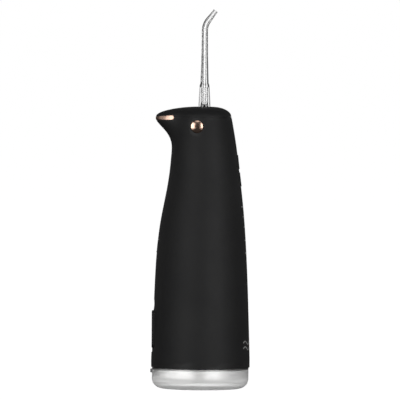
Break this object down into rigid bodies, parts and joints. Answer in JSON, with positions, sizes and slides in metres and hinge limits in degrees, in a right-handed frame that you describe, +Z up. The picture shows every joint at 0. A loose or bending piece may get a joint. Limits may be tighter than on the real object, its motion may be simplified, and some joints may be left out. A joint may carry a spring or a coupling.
{
  "type": "water flosser",
  "caption": "Cordless water flosser: round tapered body with a beaked head, clear lift-off water tank, hinged fill door, push buttons, piston pump and a bent plug-in jet tip.",
  "frame": {"origin": "centre of the flat underside of the water tank", "axes": "+Z up along the body, +X towards the buttons (front), -X towards the beak and the fill door (rear)"},
  "size_m": [0.0756, 0.075, 0.2882],
  "materials": {
    "clear_tank": "clear polycarbonate",
    "clear_tip": "clear polycarbonate",
    "clear_guide": "clear acrylic",
    "black_soft": "soft-touch black",
    "black_gloss": "satin black",
    "dark_plastic": "dark grey",
    "grey_plastic": "moulded grey",
    "white_plastic": "acetal white",
    "copper": "rose-gold plated",
    "steel": "plain steel",
    "spring_steel": "spring steel",
    "black_rubber": "silicone rubber",
    "silicone": "translucent silicone",
    "cell_wrap": "shrink wrap",
    "board_green": "solder mask"
  },
  "bodies": {
    "tank": {"tank_base": "clear_tank", "tank_body": "clear_tank", "latch_spring": "spring_steel"},
    "latch": {"tank_latch": "dark_plastic"},
    "handle": {"shell": "black_soft", "head_cap": "black_soft", "beak_trim": "copper", "door_pin": "steel", "deck": "grey_plastic", "tank_seal": "black_rubber", "deck_screws": "steel", "suction_tube": "white_plastic", "inlet_filter": "white_plastic", "chassis": "grey_plastic", "motor": "steel", "motor_screws": "steel", "gear_axle": "steel", "pump_cylinder": "white_plastic", "pump_head": "white_plastic", "inlet_valve": "black_rubber", "outlet_valve": "black_rubber", "outlet_tube": "silicone", "battery": "cell_wrap", "circuit_board": "board_green", "board_parts": "dark_plastic", "light_guide": "clear_guide", "charge_socket": "steel", "seat_housing": "grey_plastic", "frame_screws": "steel", "nozzle_clip": "spring_steel", "button_membrane": "silicone"},
    "door": {"fill_door": "black_soft", "door_seal": "black_rubber"},
    "charge_flap": {"charge_cover": "black_rubber"},
    "power": {"power_button": "black_gloss"},
    "mode": {"mode_button": "black_gloss"},
    "release_right": {"release_button_right": "copper"},
    "release_left": {"release_button_left": "copper"},
    "seat": {"nozzle_seat": "white_plastic", "seat_ring": "black_rubber"},
    "jet": {"jet_tip": "clear_tip"},
    "rotor": {"motor_shaft": "steel"},
    "crank": {"crank_gear": "white_plastic"},
    "pump_piston": {"piston": "white_plastic", "piston_seal": "black_rubber"}
  },
  "joints": [
    {"name": "tank_release", "type": "slide", "parent": "tank", "child": "handle", "axis": [0, 0, 1], "range_m": [0, 0.12], "deforming": ["tank_latch"]},
    {"name": "latch_slide", "type": "slide", "parent": "tank", "child": "latch", "axis": [1, 0, 0], "range_m": [0, 0.0015], "stiffness_N_per_m": 400, "springref_m": -0.001, "deforming": ["latch_spring"]},
    {"name": "fill_door_hinge", "type": "hinge", "parent": "handle", "child": "door", "pos_m": [-0.0352, 0, 0.0291], "axis": [0, -1, 0], "range_deg": [0, 90]},
    {"name": "charge_cover_hinge", "type": "hinge", "parent": "handle", "child": "charge_flap", "pos_m": [-0.03335, 0, 0.1038], "axis": [0, -1, 0], "range_deg": [0, 110]},
    {"name": "power_press", "type": "slide", "parent": "handle", "child": "power", "axis": [-1, 0, 0], "range_m": [0, 0.0007], "stiffness_N_per_m": 900, "deforming": ["button_membrane"]},
    {"name": "mode_press", "type": "slide", "parent": "handle", "child": "mode", "axis": [-1, 0, 0], "range_m": [0, 0.0007], "stiffness_N_per_m": 900},
    {"name": "release_press_right", "type": "slide", "parent": "handle", "child": "release_right", "axis": [0, 1, 0], "range_m": [0, 0.0015], "stiffness_N_per_m": 600, "deforming": ["nozzle_clip"]},
    {"name": "release_press_left", "type": "slide", "parent": "handle", "child": "release_left", "axis": [0, -1, 0], "range_m": [0, 0.0015], "stiffness_N_per_m": 600},
    {"name": "jet_swivel", "type": "hinge", "parent": "handle", "child": "seat", "pos_m": [0.0018, 0, 0.19], "axis": [0, 0, 1], "continuous": true},
    {"name": "jet_pull_out", "type": "slide", "parent": "seat", "child": "jet", "axis": [0, 0, 1], "range_m": [0, 0.026]},
    {"name": "crank_spin", "type": "hinge", "parent": "handle", "child": "crank", "pos_m": [0.0093, 0, 0.135], "axis": [0, 1, 0], "continuous": true},
    {"name": "motor_spin", "type": "hinge", "parent": "handle", "child": "rotor", "pos_m": [0.0093, 0, 0.1225], "axis": [0, 1, 0], "continuous": true},
    {"name": "piston_stroke", "type": "slide", "parent": "handle", "child": "pump_piston", "axis": [0, 0, 1], "range_m": [-0.0025, 0.0025]}
  ],
  "couplings": [
    {"joint": "motor_spin", "follows": "crank_spin", "ratio": -4}
  ]
}
